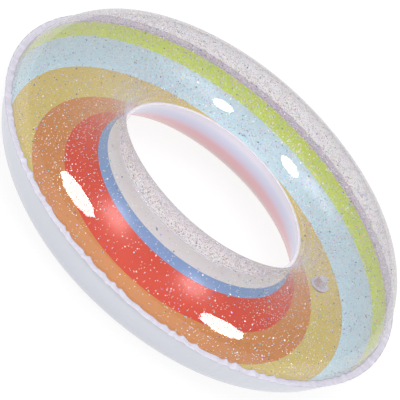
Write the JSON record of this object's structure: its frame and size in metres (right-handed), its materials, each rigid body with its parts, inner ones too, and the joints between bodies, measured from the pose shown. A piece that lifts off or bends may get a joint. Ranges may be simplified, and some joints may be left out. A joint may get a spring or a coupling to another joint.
{
  "type": "inflatable swim ring",
  "caption": "Inflated ring-shaped pool float of clear and printed plastic film, with loose glitter inside and a push-in air valve with plug.",
  "frame": {"origin": "on the ring's axis, at the height of the lowest point of the back film", "axes": "+Z is the ring's axis and points out of the clear front; +X and +Y lie in the plane of the ring, with the air valve 36 degrees from +X towards +Y"},
  "size_m": [0.7349, 0.735, 0.1693],
  "materials": {
    "clear_film": "clear glossy soft PVC film",
    "printed_film": "glossy soft PVC film, rainbow bands printed on the inside over a milky white backing",
    "welded_edge": "two films melted together, milky and puckered",
    "valve_plastic": "translucent moulded soft PVC",
    "glitter_foil": "holographic foil flakes"
  },
  "bodies": {
    "ring": {"front_film": "clear_film", "back_film": "printed_film", "outer_rim": "welded_edge", "inner_rim": "welded_edge", "valve_collar": "valve_plastic", "valve_web": "valve_plastic", "glitter": "glitter_foil"},
    "stem": {"valve_stem": "valve_plastic", "plug_strap": "valve_plastic"},
    "plug": {"valve_plug": "valve_plastic"},
    "flap": {"check_flap": "valve_plastic"}
  },
  "joints": [
    {"name": "stem_pull", "type": "slide", "parent": "ring", "child": "stem", "axis": [0.1126, 0.0818, -0.9903], "range_m": [0, 0.014], "deforming": ["valve_web"]},
    {"name": "plug_pull", "type": "slide", "parent": "stem", "child": "plug", "axis": [0.1126, 0.0818, -0.9903], "range_m": [0, 0.01], "deforming": ["plug_strap"]},
    {"name": "flap_swing", "type": "hinge", "parent": "stem", "child": "flap", "pos_m": [0.22903, 0.17258, 0.01774], "axis": [-0.8011, -0.5821, -0.1392], "range_deg": [0, 60], "stiffness_Nm_per_rad": 0.0004}
  ]
}
